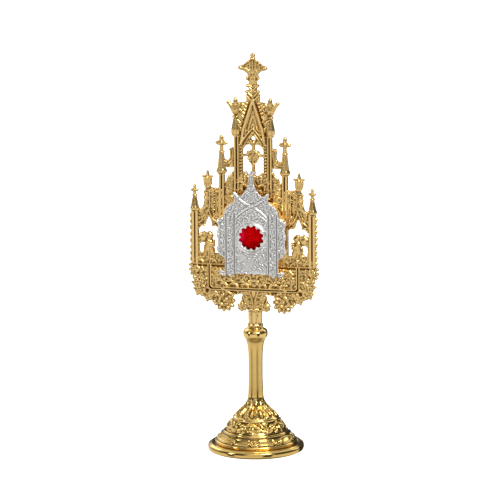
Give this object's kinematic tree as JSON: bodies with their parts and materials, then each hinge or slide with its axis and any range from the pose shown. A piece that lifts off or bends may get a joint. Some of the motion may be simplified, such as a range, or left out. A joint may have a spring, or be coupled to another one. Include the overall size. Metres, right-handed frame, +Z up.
{
  "type": "reliquary",
  "caption": "Small Gothic table reliquary: a gilt openwork church front on a round fluted foot, with a silvered case and a toothed round window over red cloth.",
  "frame": {"origin": "on the floor, under the middle of the foot", "axes": "+Z up; the front with the window looks along -Y; +X is the right side as seen from in front"},
  "size_m": [0.0766, 0.0548, 0.23],
  "materials": {
    "polished_gilt": "polished gold plate",
    "matte_gilt": "satin gold plate, cast relief",
    "chased_silver": "chased silver plate",
    "clear_glass": "clear, polished",
    "red_cloth": "matt woven cloth"
  },
  "bodies": {
    "root": {"foot": "polished_gilt", "front": "matte_gilt", "case": "matte_gilt", "silver_front": "chased_silver", "bezel": "chased_silver", "glass": "clear_glass", "relic_cloth": "red_cloth"}
  },
  "joints": []
}
